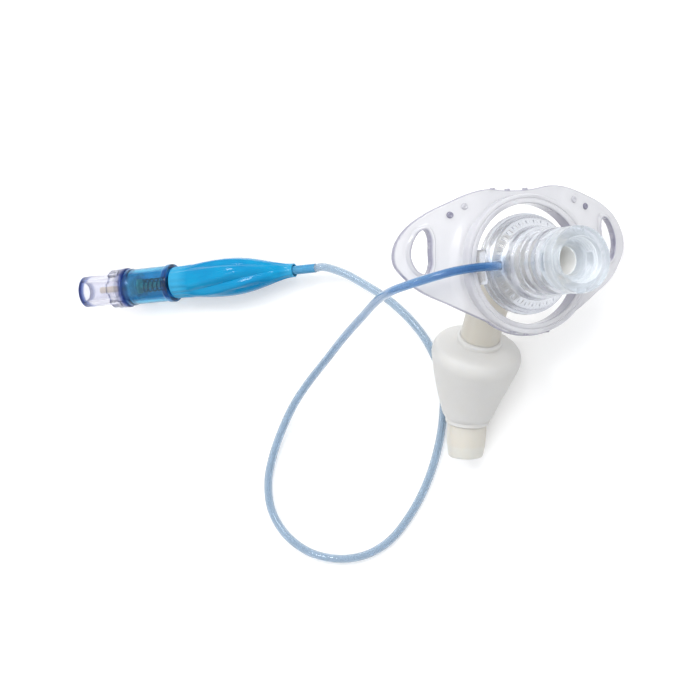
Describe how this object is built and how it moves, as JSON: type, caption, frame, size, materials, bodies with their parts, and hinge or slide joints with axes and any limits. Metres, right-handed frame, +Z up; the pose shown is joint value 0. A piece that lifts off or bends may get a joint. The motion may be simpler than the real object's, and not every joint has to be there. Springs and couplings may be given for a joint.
{
  "type": "tracheostomy tube",
  "caption": "Cuffed tracheostomy tube with a clear swivelling neck flange, a snap-in inner cannula, an inflation line and a pilot balloon with a luer valve.",
  "frame": {"origin": "on the table, under the centre of the bounding box of the tube, hub, flange and cuff", "axes": "+Z up; +X towards the upper edge of the neck flange, -Y towards the side that the connector points to; the device lies on the end of its right wing, the side of its cuff and the side of its tip"},
  "size_m": [0.087, 0.1581, 0.0508],
  "materials": {
    "outer_cannula": "satin",
    "inner_cannula_tube": "satin",
    "hub_body": "clear gloss",
    "inner_cannula_connector": "frosted",
    "neck_flange": "clear gloss",
    "cuff": "milky film",
    "inflation_line": "clear gloss",
    "balloon_tail_sleeve": "clear gloss",
    "pilot_balloon": "glossy film",
    "valve_housing": "clear gloss",
    "valve_body": "clear gloss",
    "valve_plunger": "moulded",
    "valve_seal": "moulded",
    "valve_spring": "drawn wire"
  },
  "bodies": {
    "tube": {"outer_cannula": "outer_cannula", "inner_cannula_tube": "inner_cannula_tube", "hub_body": "hub_body", "inner_cannula_connector": "inner_cannula_connector", "cuff": "cuff", "inflation_line": "inflation_line", "balloon_tail_sleeve": "balloon_tail_sleeve", "pilot_balloon": "pilot_balloon", "valve_housing": "valve_housing", "valve_body": "valve_body", "valve_spring": "valve_spring"},
    "flange": {"neck_flange": "neck_flange"},
    "plunger": {"valve_plunger": "valve_plunger", "valve_seal": "valve_seal"}
  },
  "joints": [
    {"name": "flange_swivel", "type": "hinge", "parent": "tube", "child": "flange", "pos_m": [0.01358, -0.00431, 0.02828], "axis": [0.0219, -0.6148, -0.7884], "range_deg": [-20, 20]},
    {"name": "valve_stem_slide", "type": "slide", "parent": "tube", "child": "plunger", "axis": [0.0209, -0.9998, 0], "range_m": [0, 0.0015], "stiffness_N_per_m": 300, "deforming": ["valve_spring"]}
  ]
}
